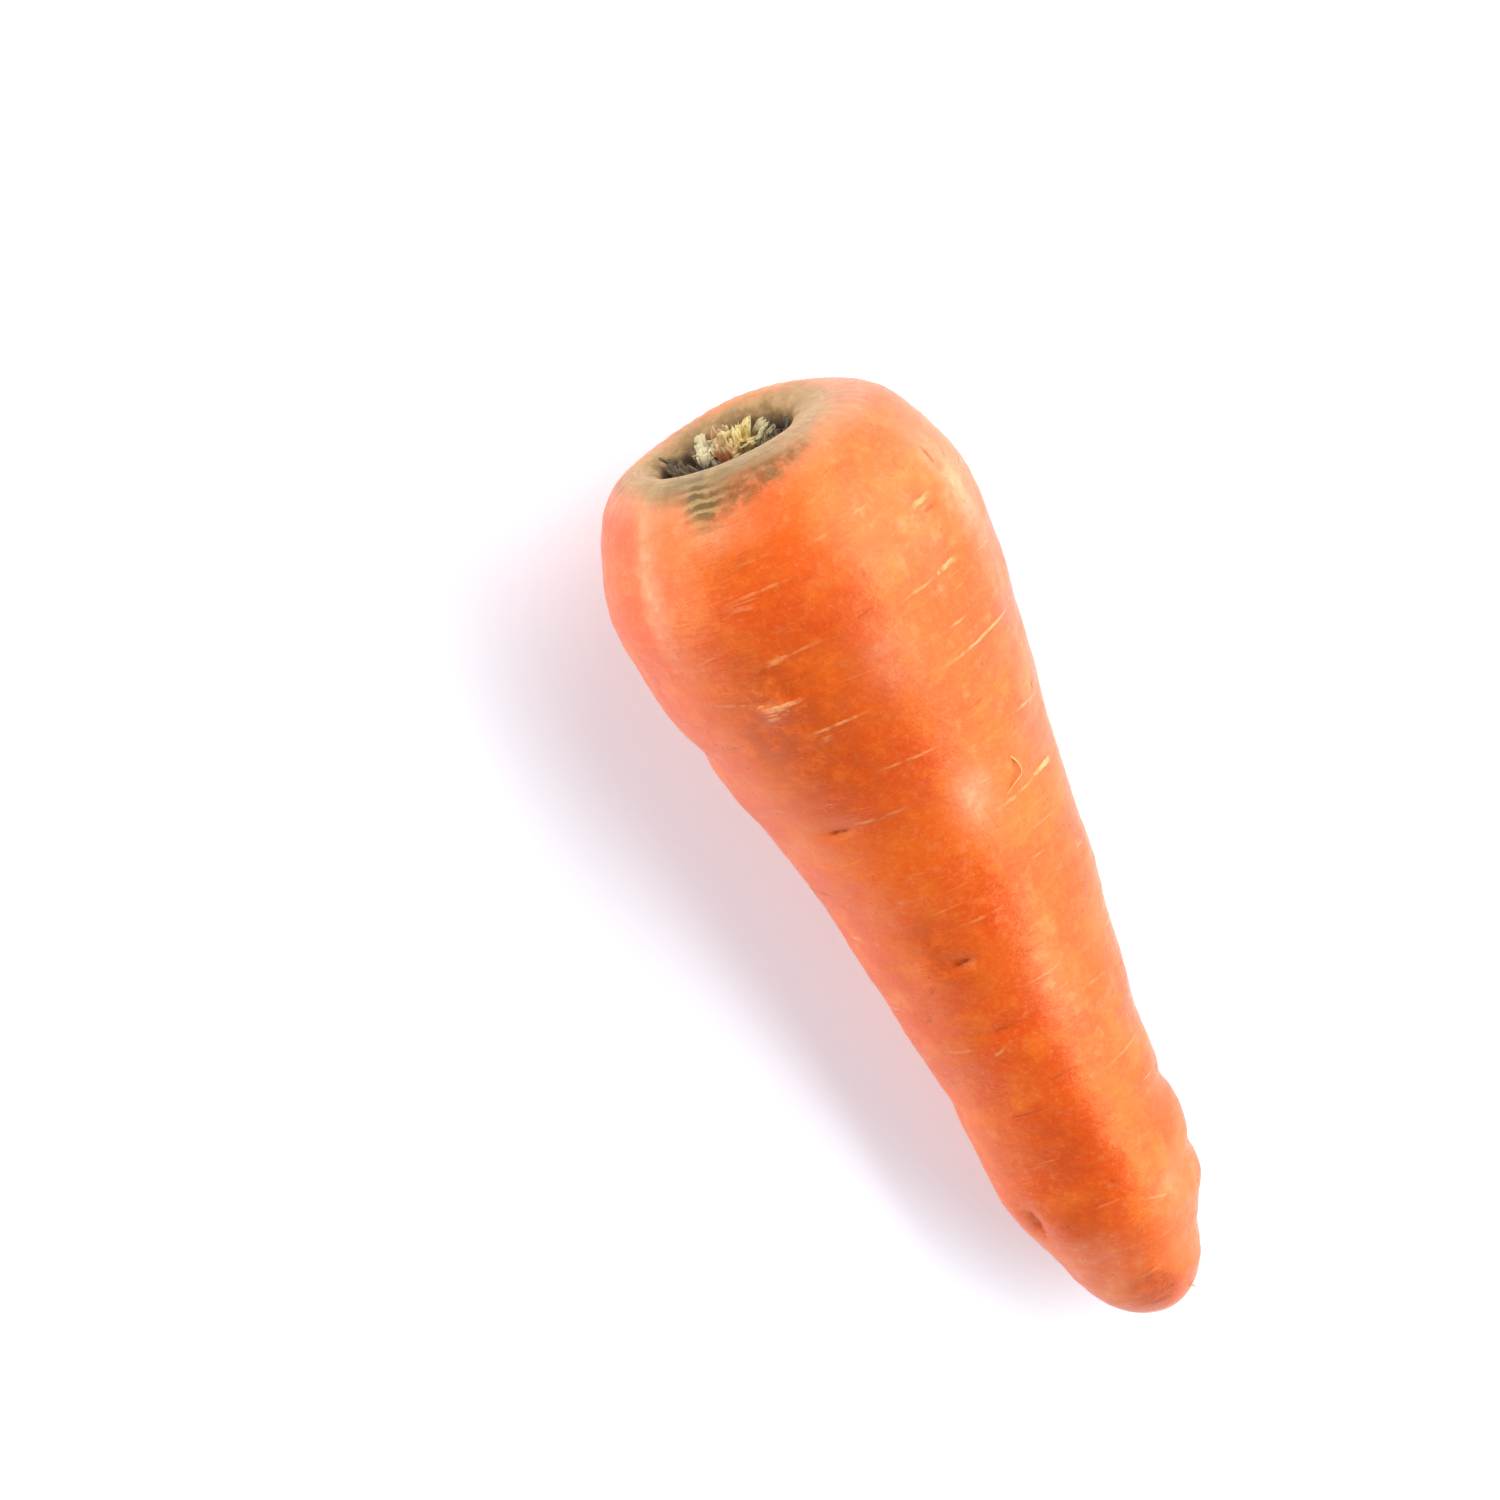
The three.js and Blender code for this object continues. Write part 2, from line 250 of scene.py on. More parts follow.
# %% The larger marks
# At (mm), side (degrees), length (mm), lean (degrees), thickness (mm), shade, height (mm).
# A shade above 0 is pale cork, and below 0 a dark scar. At 12.5 and 17.7 mm the dark line is painted
# shade, in a crease and under a raised bar.
MARKS = [
    (16, 104, 12, 2, 0.5, 0.45, 0.05),
    (17.5, 112, 5, -4, 0.8, 0.3, 0.05),
    (26.3, 104, 12, 2, 0.5, 0.4, 0.04),
    (26.8, 112, 5, 5, 0.8, 0.6, 0.08),
    (33.6, 115, 8, 3, 0.8, 1.0, 0.3),
    (35.3, 119, 5, 8, 0.7, 0.6, 0.15),
    (39.4, 103, 12, 2, 0.5, 0.6, 0.06),
    (41.2, 108, 4, -6, 0.9, 0.5, 0.08),
    (49.1, 88, 11, -3, 0.45, 0.6, 0.05),
    (57.1, 127, 4.5, 3, 0.7, -0.9, -0.2),
    (56.3, 108, 10, 1, 0.5, 0.55, 0.08),
    (84, 109, 3.8, 4, 0.6, -1.0, -0.35),
    (87.5, 130, 4, 35, 0.5, -0.4, -0.05),
    (92.6, 142, 2.5, 30, 0.7, -0.5, -0.08),
    (96.5, 106, 6, 3, 0.5, -0.4, -0.08),
    (100, 112, 3, 20, 0.5, 0.5, 0.05),
    # A groove along the right shoulder, darkened with painted shade.
    (12.5, 29, 6, 80, 0.8, -0.6, -0.15),
    (16.2, 44, 6, 2, 0.8, 0.75, 0.15),
    # Painted shadow under the raised pale bar above it, over a shallow groove.
    (17.7, 43, 5, 4, 0.6, -0.5, -0.12),
    (26.4, 46, 5, 0, 0.9, 0.95, 0.12),
    (26.5, 61, 9, 0, 0.45, 0.6, 0.04),
    (34.3, 55, 7, 0, 0.45, 0.5, 0.04),
    (38.8, 45, 22, 1, 0.5, 0.75, 0.08),
    (52.6, 34, 10, -8, 0.5, 0.6, 0.05),
    (51.4, 25, 0.9, 0, 0.9, -0.9, -0.1),
    (63.5, 57, 12, 2, 0.5, 0.7, 0.08),
    (63.2, 33, 7, -4, 0.8, 0.95, 0.12),
    (131, 150, 5, 82, 0.8, -0.9, -0.25),
    (133.5, 63, 8, -22, 0.5, 0.5, 0.08),
    (134.6, 68, 5, -12, 0.5, -0.35, -0.05),
    (152.2, 45, 1.4, 30, 0.9, -1.0, -0.1),
    (139.6, 97, 1.2, 0, 1.0, -0.5, -0.05),
    (27, 215, 10, 3, 0.7, -0.5, -0.1),
    (52, 190, 9, -3, 0.6, 0.8, 0.1),
    (80, 228, 8, 2, 0.6, -0.6, -0.1),
    (81.5, 226, 7, 4, 0.7, 0.7, 0.12),
    (110, 196, 6, 0, 0.7, -0.8, -0.2),
    (70, 262, 9, -4, 0.6, 0.7, 0.08),
    (120, 285, 6, 4, 0.8, -0.8, -0.2),
    (47, 318, 10, -2, 0.6, 0.8, 0.1),
    (48.6, 315, 8, 2, 0.6, -0.4, -0.1),
    (100, 342, 7, 3, 0.7, -0.7, -0.2),
    (76, 3, 10, 4, 0.5, 0.7, 0.08),
    (92, 20, 7, -6, 0.5, 0.5, 0.06),
]

# %% The many faint marks between them
MARK_SEED = 11
FAINT_MARKS = 420  # places tried, and left empty where a mark is too near
MARK_GAP = 2.6  # mm
draw = np.random.default_rng(MARK_SEED)
marks = list(MARKS)


def clear_of_marks(at, side, reach):
    """Whether a place is at least reach from the marks that are there already."""
    radius = np.interp(at, rings[crest:, 0], rings[crest:, 1])
    for other_at, other_side, length, *_ in marks:
        apart = math.remainder(math.radians(side - other_side), 2 * math.pi) * radius
        gap = max(0, abs(apart) - length / 2)
        if math.hypot(at - other_at, gap / 1.6) < reach:
            return False
    return True


for _ in range(FAINT_MARKS):
    at = draw.uniform(9, 153)
    side = draw.uniform(0, 360)
    pore = draw.random() < 0.35
    length = draw.uniform(0.7, 1.3) if pore else draw.gamma(3.0, 1.5) + 1.5
    lean = draw.normal(0, 5)
    thickness = draw.uniform(0.6, 1.0) if pore else draw.uniform(0.3, 0.55)
    shade = draw.uniform(-0.5, -0.2) if draw.random() < 0.2 else draw.uniform(0.12, 0.5)
    if clear_of_marks(at, side, MARK_GAP):
        marks.append((at, side, length, lean, thickness, shade, 0.12 * shade * thickness))
print(len(marks), "marks,", len(MARKS), "of them placed by hand")

# %% Where each point of the skin lies in the frame of its nearest mark
SQUEEZE = 2.5  # marks are long and thin, so nearness along the root counts for more
mark_of = np.zeros(down.shape, int)
tree = kdtree.KDTree(sum(max(1, int(m[2] / 2)) for m in marks))
for index, (at, side, length, lean, *_) in enumerate(marks):
    radius = np.interp(at, rings[crest:, 0], rings[crest:, 1])
    beads = max(1, int(length / 2))
    for bead in range(beads):
        offset = (bead + 0.5) / beads * length - length / 2
        spot = math.radians(side) + offset * math.cos(math.radians(lean)) / radius
        height = at + offset * math.sin(math.radians(lean))
        tree.insert((height * SQUEEZE, radius * math.cos(spot), radius * math.sin(spot)), index)
tree.balance()
for row in range(crest, RINGS + 1):
    for column in range(SIDES):
        radius, spot = round_radius[row, column], turn[row, column]
        place = (down[row, column] * SQUEEZE, radius * math.cos(spot), radius * math.sin(spot))
        mark_of[row, column] = tree.find(place)[1]

table = np.array(marks)[mark_of]
mark_at, mark_side, mark_long, mark_lean, mark_thick, mark_shade, mark_high = np.moveaxis(table, -1, 0)
apart = turn - np.radians(mark_side)
sideways = np.arctan2(np.sin(apart), np.cos(apart)) * round_radius
below = down - mark_at
lean = np.radians(mark_lean)
mark_along = sideways * np.cos(lean) + below * np.sin(lean)
mark_across = below * np.cos(lean) - sideways * np.sin(lean)
halo = 1 - smoothstep(np.abs(mark_across), 1.3, 2.0)
halo *= 1 - smoothstep(np.abs(mark_along) - mark_long / 2, 0.6, 1.6)
halo *= smoothstep(arc, 4, 7)
ridge = np.exp(-((mark_across / np.maximum(mark_thick, 0.55)) ** 2))
ridge *= np.clip(1 - (2 * mark_along / (mark_long + 1)) ** 2, 0, 1)
relief += mark_high * ridge * halo
print("marked skin:", round(100 * float((halo > 0.5).mean())), "percent")

# %% [markdown]
# ## Fine relief
# Under a soft light the gloss of the skin breaks up, because the skin is never smooth: it is
# slightly pebbled, puckered into short folds that run round it, and drawn into fine pleats over
# the rim. Noise gives the first two. A noise stretched round the root makes folds rather than
# pebbles. The pleats are a wave round the rim whose spacing is disturbed.

# %% Pebbles, folds and pleats
UNDULATION = 0.35
PEBBLE = 0.10
FOLD = 0.10
PLEAT = 0.09
undulation = np.zeros(down.shape)
pebbles = np.zeros(down.shape)
folds = np.zeros(down.shape)
jitter = np.zeros(down.shape)
for row in range(RINGS + 1):
    for column in range(SIDES):
        x, radius, spot = down[row, column], round_radius[row, column], turn[row, column]
        y, z = radius * math.cos(spot), radius * math.sin(spot)
        here = Vector((x, y, z))
        undulation[row, column] = noise.noise(here / 15)
        pebbles[row, column] = noise.noise(here / 5.5) + 0.45 * noise.noise(here / 2.2)
        folds[row, column] = noise.noise(Vector((arc[row, column] / 1.7, y / 9, z / 9)))
        jitter[row, column] = noise.noise(here / 7 + Vector((9, 2, 5)))
relief += UNDULATION * undulation + PEBBLE * pebbles + FOLD * folds
near_rim = np.exp(-((arc - 1.5) / 4.5) ** 2)
pleats = np.sin(46 * turn + 5 * jitter) * (0.6 + 0.6 * jitter)
rim_relief = PLEAT * pleats * near_rim
print("pebbles", round(float(np.ptp(PEBBLE * pebbles)), 2), "mm from low to high")

# %% The skin's points
THICK_WALL = 1.5  # the wall of the hollow is thicker on the right
thick_side = np.exp(-((np.arctan2(np.sin(turn - 0.2), np.cos(turn - 0.2)) / 0.6) ** 2))
upper_wall = smoothstep(-arc, 0.5, 3.5) * smoothstep(round_radius, 8, 10)
fade = smoothstep(round_radius, 0, 8)
radius = round_radius * (1 + lobes) + relief * flank * fade + rim_relief
radius -= THICK_WALL * thick_side * upper_wall
own_x = down + rim_wave - 0.5 * rim_relief + 0.1 * pebbles * (1 - flank)
own_y = aside + radius * np.cos(turn)
own_z = radius * np.sin(turn)
skin_points = np.stack([own_x, own_y, own_z], -1)
print("thickest at", round(float(radius.max()), 1), "mm from its axis")

# %% [markdown]
# ## Laying the root down
# The root was described upright in its own frame. On a table it lies on its shoulder and on its
# tip end, so its axis slopes. All pieces are turned and moved alike, so that what was made in one
# frame stays together, and then the part of the underside that would be in the table is
# pressed flat.

# %% Lay down
def turned_level(points):
    """Own millimetres, turned so that the underside is level."""
    x, y, z = np.moveaxis(np.asarray(points, float), -1, 0)
    cosine, sine = math.cos(LIE), math.sin(LIE)
    return np.stack([x * cosine + z * sine, y, z * cosine - x * sine], -1)


level = turned_level(skin_points).reshape(-1, 3)
plain_low, plain_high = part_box("taproot")
shift = np.array([(a + b) / 2 / MM for a, b in zip(plain_low, plain_high)])
shift -= (level.min(0) + level.max(0)) / 2
shift[2] = -level[:, 2].min() - FLAT


def laid_down(points):
    """Own millimetres to metres in the frame of the plain model."""
    placed = turned_level(points) + shift
    placed[..., 2] = np.maximum(placed[..., 2], 0)
    return placed * MM


print("moved by", shift.round(2), "mm")

# %% [markdown]
# ## From a grid to a mesh
# Every ring becomes a row of corners, and neighbouring rows are joined with four-sided faces. At
# the bottom of the hollow and at the tip a ring has no size, so there one single corner
# and a fan of triangles close the surface.

# %% Build the skin
def lathe_mesh(name, grid):
    """A closed mesh from a grid whose first and last rows are single points.

    The first row is in the middle of the side that looks out of the crown.
    """
    sides = grid.shape[1]
    inner = grid[1:-1].reshape(-1, 3)
    corners = np.vstack([grid[0, :1], inner, grid[-1, :1]])
    rows = grid.shape[0] - 2
    faces = []
    for i in range(sides):
        j = (i + 1) % sides
        faces.append((0, 1 + j, 1 + i))
        last = 1 + (rows - 1) * sides
        faces.append((last + j, len(corners) - 1, last + i))
    for row in range(rows - 1):
        start = 1 + row * sides
        for i in range(sides):
            j = (i + 1) % sides
            faces.append((start + i, start + j, start + sides + j, start + sides + i))
    mesh = bpy.data.meshes.new(name)
    mesh.from_pydata(corners.tolist(), [], faces)
    mesh.update()
    mesh.shade_smooth()
    return mesh


def add_piece(name, mesh):
    piece = bpy.data.objects.new(name, mesh)
    bpy.context.scene.collection.objects.link(piece)
    return piece


def store(mesh, name, *grids):
    """Keeps three numbers for every corner of a lathe mesh."""
    columns = [np.concatenate([g[0, :1], g[1:-1].ravel(), g[-1, :1]]) for g in grids]
    attribute = mesh.attributes.new(name, "FLOAT_VECTOR", "POINT")
    attribute.data.foreach_set("vector", np.stack(columns, -1).astype(np.float32).ravel())


skin_mesh = lathe_mesh("carrot_skin", laid_down(skin_points))
skin = add_piece("carrot_skin", skin_mesh)
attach(skin, "root")
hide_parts("taproot")
triangles = sum(len(p.vertices) - 2 for p in skin_mesh.polygons)
print("the skin has", triangles, "triangles")

# %% [markdown]
# ## What the finish needs to know
# A material can work out colour from place. On a root the useful places are how far a point is
# from the rim and which side it is on, not where it is in the room, so these are stored at
# every corner. Stored with them are the marks, the darker stains, some of which are painted
# shade, the pale blooms of the skin, some of which are painted highlights, and what the collar
# round the crown is like: how far it reaches on each side, and where it is striped, green or
# rusty.

# %% Places, marks and stains
# At (mm), side (degrees), half size along, half size round, strength.
# Real stains, and painted shade: the broad patch at 46 mm and the patch at 124 mm on the tip's bulge
# darken the skin as shade would.
STAINS_AND_SHADE = [
    (36, 102, 20, 14, 0.5),
    (12, 108, 3, 6, 0.5),
    (30, 117, 6, 5, 0.7),
    (38, 128, 5, 4, 0.5),
    (46, 120, 12, 11, 0.6),
    (80, 116, 5, 5, 0.9),
    (86, 111, 2.5, 4, 0.7),
    (119, 104, 8, 4.5, 0.8),
    (131, 112, 4, 4, 0.5),
    (124, 25, 4, 6, 0.5),
    (94, 128, 9, 5, 0.3),
    (133, 128, 4, 4, 0.5),
    (148.7, 91, 3.0, 3.4, 2.0),
    (145, 60, 8, 8, 0.3),
    (154, 30, 3, 5, 0.6),
    (28, 212, 6, 8, 0.5),
    (82, 230, 6, 7, 0.5),
    (118, 285, 8, 7, 0.6),
    (50, 316, 7, 7, 0.4),
    (102, 344, 6, 5, 0.5),
    (140, 200, 6, 6, 0.4),
]
# Pale dry skin, and painted highlights: the patches at 18 mm on the right shoulder and at 12 mm on the
# left shoulder are painted highlights, and the one at 15 mm is partly painted sheen.
BLOOMS_AND_HIGHLIGHTS = [
    (18, 27, 12, 3.5, 0.6),
    (15, 58, 9, 13, 0.22),
    (12, 143, 11, 2.6, 0.8),
    (6.5, 110, 3, 6, 0.6),
    (60, 73, 5, 3.5, 0.7),
    (33, 80, 6, 4, 0.4),
    (92, 74, 10, 3, 0.25),
    (143, 118, 7, 7, 0.3),
    (134, 50, 5, 4, 0.3),
    (40, 235, 14, 8, 0.5),
    (95, 320, 12, 8, 0.5),
]
# Arc from the crest (mm), side (degrees), half size along, half size round, strength.
STRIPED = [(5.8, 114, 3.6, 3.3, 1.4), (3.5, 305, 2.4, 6, 0.8), (3.5, 222, 2.2, 4, 0.7)]
GREENED = [(2.0, 112, 3.5, 15, 1.0), (0.5, 335, 3, 7, 0.8), (1, 255, 2.5, 8, 0.8)]
RUSTY = [
    (6.2, 97, 2.6, 5, 1.3),
    (9.5, 113, 2.2, 4, 0.4),
    (5.0, 82, 2.0, 5, 0.9),
    (4.6, 68, 1.2, 4, 0.6),
    (3.8, 132, 2.2, 3, 0.6),
    (3.0, 190, 1.6, 6, 0.7),
    (1.0, 275, 1.5, 7, 0.6),
    (2.4, 20, 1.4, 5, 0.4),
]


def patches(listing, measured=down):
    """The sum of the patches in a list, from 0 to 1."""
    return np.clip(sum(strong * bell(*place, measured) for *place, strong in listing), 0, 1)


COLLAR_SIDE = math.radians(104)  # where the collar is broadest
reach = 1.7 + 2.9 * np.cos(turn - COLLAR_SIDE)
# The rim's far side is paler.
far_rim = np.exp(-((arc - 0.3) ** 2) / 3) * smoothstep(np.cos(turn - COLLAR_SIDE), -0.1, -0.7)
# Stains, partly painted shade, and pale blooms, partly painted highlights.
stains_and_shade = patches(STAINS_AND_SHADE) * flank
blooms_and_highlights = np.clip(patches(BLOOMS_AND_HIGHLIGHTS) * flank + 0.3 * far_rim, 0, 1)
store(skin_mesh, "place", arc, np.cos(turn), np.sin(turn))
store(skin_mesh, "mark", 2 * mark_along / mark_long, 2 * mark_across / mark_thick, mark_shade * halo)
store(skin_mesh, "tint", stains_and_shade, blooms_and_highlights, patches(RUSTY, arc))
store(skin_mesh, "crown", reach, patches(STRIPED, arc), patches(GREENED, arc))

# %% [markdown]
# ## A short way to write materials
# A node material is a list of small steps. Written out with Blender's own calls each step takes
# four lines, so one helper makes a node, sets its options and fills its sockets, and a few
# others name the steps that come back most: noise, mixing two colours and a soft threshold.

# %% Helpers for node materials
class Finish:
    """A material being written, one node after the other."""

    def __init__(self, name):
        self.material = bpy.data.materials.new(name)
        self.material.use_nodes = True
        self.tree = self.material.node_tree
        self.tree.nodes.clear()

    def add(self, kind, sockets=(), **options):
        """Makes a node. sockets is a list of (input, value or output socket)."""
        node = self.tree.nodes.new("ShaderNode" + kind)
        for option, value in options.items():
            setattr(node, option, value)
        for key, value in sockets:
            if isinstance(value, bpy.types.NodeSocket):
                self.tree.links.new(value, node.inputs[key])
            else:
                node.inputs[key].default_value = value
        return node

    def stored(self, name, output="Fac"):
        return self.add("Attribute", attribute_name=name).outputs[output]

    def math(self, operation, a, b=0.0, c=0.0):
        node = self.add("Math", [(0, a), (1, b), (2, c)], operation=operation)
        return node.outputs[0]

    def product(self, *factors):
        result = factors[0]
        for factor in factors[1:]:
            result = self.math("MULTIPLY", result, factor)
        return result

    def scaled(self, vector, x, y, z):
        node = self.add("VectorMath", [(0, vector), (1, (x, y, z))], operation="MULTIPLY")
        return node.outputs[0]

    def noise(self, vector, scale, detail=2.0, rough=0.5):
        sockets = [("Vector", vector), ("Scale", scale), ("Detail", detail), ("Roughness", rough)]
        return self.add("TexNoise", sockets).outputs["Fac"]

    def step(self, value, low, high):
        """0 below low, 1 above high, smooth between. low may be the larger one."""
        sockets = [("Value", value), ("From Min", low), ("From Max", high)]
        node = self.add("MapRange", sockets, interpolation_type="SMOOTHSTEP")
        return node.outputs["Result"]

    def share(self, value, low, high, most):
        """Like step, but goes up only to most."""
        return self.product(self.step(value, low, high), most)

    def mix(self, share, first, second):
        """The first colour where share is 0, the second where it is 1."""
        sockets = [(0, share)]
        for key, tone in ((6, first), (7, second)):
            sockets.append((key, tone if isinstance(tone, bpy.types.NodeSocket) else (*tone, 1)))
        return self.add("Mix", sockets, data_type="RGBA").outputs[2]

    def layered(self, base, *layers):
        """Lays tones over a base. A layer is a noise, three numbers as for share, and a tone."""
        for grain, low, high, most, tone in layers:
            base = self.mix(self.share(grain, low, high, most), base, tone)
        return base

    def shade(self, sockets, height=None):
        """Ends the material with its shader, and with a bump from a height in millimetres."""
        if height is not None:
            bump = self.add("Bump", [("Height", height), ("Distance", MM), ("Strength", 1.0)])
            sockets = [*sockets, ("Normal", bump.outputs[0])]
        shader = self.add("BsdfPrincipled", sockets)
        self.add("OutputMaterial", [("Surface", shader.outputs[0])])
        return self.material


def colour(red, green, blue):
    """A colour as a screen shows it, 0 to 255, turned into the light that a material needs."""
    levels = np.array([red, green, blue]) / 255
    return tuple(np.where(levels < 0.04045, levels / 12.92, ((levels + 0.055) / 1.055) ** 2.4))


# %% [markdown]
# ## The carrot's skin
# Carrot skin is a thin, clear, slightly moist layer over orange flesh. Its colour is uneven on
# every scale: broad patches of deeper and lighter orange, streaks that run round the root, and a
# pinkish bloom of dry cells. Round the crown it has a beige collar, which turns grey-green on
# the side where light reached it in the ground, and fades into the orange along a ragged, rusty
# edge. In the hollow it is brown, and painted shade darkens it towards the bottom. Some of the
# stains are painted shade, and some of the pale blooms are painted highlights. An image could
# hold all this, but it would blur close by. So every tone is mixed from noise in the stored
# places: nothing repeats, and nothing slides when the view changes.

# %% Skin: orange and its variation
paint = Finish("carrot_skin")
place = paint.stored("place", "Vector")
room = paint.scaled(paint.add("TexCoord").outputs["Object"], 1000, 1000, 1000)
broad = paint.noise(room, 0.05, 3)
patchy = paint.noise(room, 0.16, 4, 0.6)
round_streaks = paint.noise(paint.scaled(place, 0.8, 3.2, 3.2), 1.0, 4, 0.6)
fine_streaks = paint.noise(paint.scaled(place, 2.6, 8, 8), 1.0, 3, 0.6)
cells = paint.noise(room, 1.2, 5, 0.75)

ORANGE = colour(224, 90, 8)
DEEP_ORANGE = colour(216, 74, 5)
LIGHT_ORANGE = colour(230, 108, 20)
PINKISH = colour(234, 134, 80)
BROWNISH = colour(184, 76, 14)
marbled = paint.noise(room, 0.34, 5, 0.7)
base = paint.mix(paint.step(broad, 0.40, 0.62), DEEP_ORANGE, ORANGE)
base = paint.layered(
    base,
    (patchy, 0.42, 0.80, 1.0, LIGHT_ORANGE),
    (round_streaks, 0.50, 0.75, 0.4, LIGHT_ORANGE),
    (fine_streaks, 0.45, 0.25, 0.3, DEEP_ORANGE),
    (marbled, 0.52, 0.76, 0.55, PINKISH),
    (marbled, 0.42, 0.22, 0.45, BROWNISH),
    (cells, 0.48, 0.80, 0.6, PINKISH),
    (cells, 0.46, 0.20, 0.6, BROWNISH),
)

# %% Skin: stains with painted shade, blooms with painted highlights, and the marks drawn from their stored frames
# The stain tone also paints shade.
STAIN_AND_SHADE = colour(188, 66, 2)
# The bloom tone also paints highlights, and the peach band beside the collar.
BLOOM_AND_HIGHLIGHT = colour(244, 178, 142)
CORK = colour(240, 174, 116)
SCAR_AND_SHADE = colour(128, 36, 2)
tint = paint.add("SeparateXYZ", [("Vector", paint.stored("tint", "Vector"))])
# Pale blooms, some of them painted highlights on the shoulders.
bloom_and_highlight_cover = paint.math("MULTIPLY_ADD", paint.step(marbled, 0.34, 0.68), 0.5, 0.35)
base = paint.mix(paint.product(tint.outputs["Y"], bloom_and_highlight_cover), base, BLOOM_AND_HIGHLIGHT)
# Stains, some of them painted shade.
stain_and_shade_share = paint.product(tint.outputs["X"], paint.step(marbled, 0.30, 0.60), 0.9)
base = paint.mix(stain_and_shade_share, base, STAIN_AND_SHADE)

mark = paint.add("SeparateXYZ", [("Vector", paint.stored("mark", "Vector"))])
mark_pale = paint.math("MAXIMUM", mark.outputs["Z"], 0.0)
mark_dark = paint.math("MAXIMUM", paint.product(mark.outputs["Z"], -1.0), 0.0)
# A line is drawn where a point is near enough to its mark's middle, and wobbles a little.
wobble = paint.math("SUBTRACT", paint.noise(room, 0.6, 2), 0.5)
off_line = paint.math("MULTIPLY_ADD", wobble, 1.8, mark.outputs["Y"])
off_line = paint.math("ABSOLUTE", off_line)
near_ends = paint.step(paint.math("ABSOLUTE", mark.outputs["X"]), 1.05, 0.2)
uneven = paint.step(paint.noise(room, 0.45, 3), 0.28, 0.60)
line = paint.product(paint.step(off_line, 1.3, 0.5), near_ends, uneven, 0.85)
shadow = paint.product(paint.step(off_line, 4.5, 1.0), near_ends, 0.35)
strength = paint.math("ABSOLUTE", mark.outputs["Z"])
base = paint.mix(paint.product(shadow, strength), base, STAIN_AND_SHADE)
pale_line = paint.product(line, mark_pale)
dark_line = paint.product(line, mark_dark)
base = paint.mix(pale_line, base, CORK)
# Dark scars, and at two marks painted shade.
base = paint.mix(dark_line, base, SCAR_AND_SHADE)

# %% Skin: the collar, the striped patch and the hollow
BEIGE = colour(174, 138, 101)
GREY_GREEN = colour(118, 113, 82)
OLIVE = colour(98, 80, 44)
PALE = colour(192, 168, 138)
STRAW = colour(180, 152, 100)
RUST = colour(138, 68, 30)
DARK_BAND = colour(80, 62, 36)
LIGHT_BAND = colour(158, 130, 84)
WALL = colour(172, 138, 102)
HOLLOW_FLOOR_SHADE = colour(62, 46, 36)
arc_place = paint.add("SeparateXYZ", [("Vector", place)]).outputs["X"]
crown = paint.add("SeparateXYZ", [("Vector", paint.stored("crown", "Vector"))])
ragged = paint.math("SUBTRACT", paint.noise(room, 0.22, 5, 0.65), 0.5)
ragged_arc = paint.math("MULTIPLY_ADD", ragged, 5.0, arc_place)
radial = paint.noise(paint.scaled(place, 0.25, 9, 9), 1.0, 3, 0.6)
ring_streaks = paint.noise(paint.scaled(place, 1.5, 2.5, 2.5), 1.0, 4, 0.65)
mottled = paint.noise(room, 0.7, 5, 0.7)
# How far a point is past the collar's ragged edge, in millimetres.
past_reach = paint.math("SUBTRACT", ragged_arc, crown.outputs["X"])
past_reach = paint.math("SUBTRACT", past_reach, 1.5)
past_reach = paint.math("MULTIPLY_ADD", mottled, 3.0, past_reach)
collar = paint.step(past_reach, 3.6, -2.6)
peach = paint.product(paint.step(past_reach, 6.0, 1.5), 0.2)
base = paint.mix(peach, base, BLOOM_AND_HIGHLIGHT)
collar_tone = paint.layered(
    paint.mix(crown.outputs["Z"], BEIGE, GREY_GREEN),
    (ring_streaks, 0.50, 0.72, 0.5, PALE),
    (ring_streaks, 0.46, 0.28, 0.4, OLIVE),
    (radial, 0.54, 0.74, 0.2, OLIVE),
    (mottled, 0.54, 0.74, 0.45, PALE),
    (mottled, 0.44, 0.26, 0.5, RUST),
    (patchy, 0.48, 0.66, 0.35, STRAW),
)
base = paint.mix(paint.product(collar, 0.92), base, collar_tone)
rusty = paint.product(tint.outputs["Z"], paint.step(mottled, 0.20, 0.66), 0.9)
rusty_tone = paint.mix(paint.step(marbled, 0.40, 0.60), RUST, OLIVE)
base = paint.mix(rusty, base, rusty_tone)

# Dark and light bands that follow the rim unevenly.
bands = paint.math("MULTIPLY_ADD", ragged, 12.0, paint.product(arc_place, 3.4))
bands = paint.math("SINE", bands)
band_tone = paint.mix(paint.step(bands, -0.4, 1.0), DARK_BAND, LIGHT_BAND)
band_share = paint.product(crown.outputs["Y"], paint.step(ragged, -0.20, 0.02), 0.95)
base = paint.mix(band_share, base, band_tone)

in_hollow = paint.step(ragged_arc, -1.0, -4.0)
streaks = paint.noise(paint.scaled(place, 0.45, 5, 5), 1.0, 4, 0.6)
wall_tone = paint.layered(
    WALL,
    (streaks, 0.40, 0.62, 0.6, OLIVE),
    (mottled, 0.55, 0.75, 0.5, PALE),
)
base = paint.mix(paint.product(in_hollow, 0.85), base, wall_tone)
# Painted shade: the hollow darkens towards its bottom.
base = paint.mix(paint.step(ragged_arc, -3.8, -7.0), base, HOLLOW_FLOOR_SHADE)

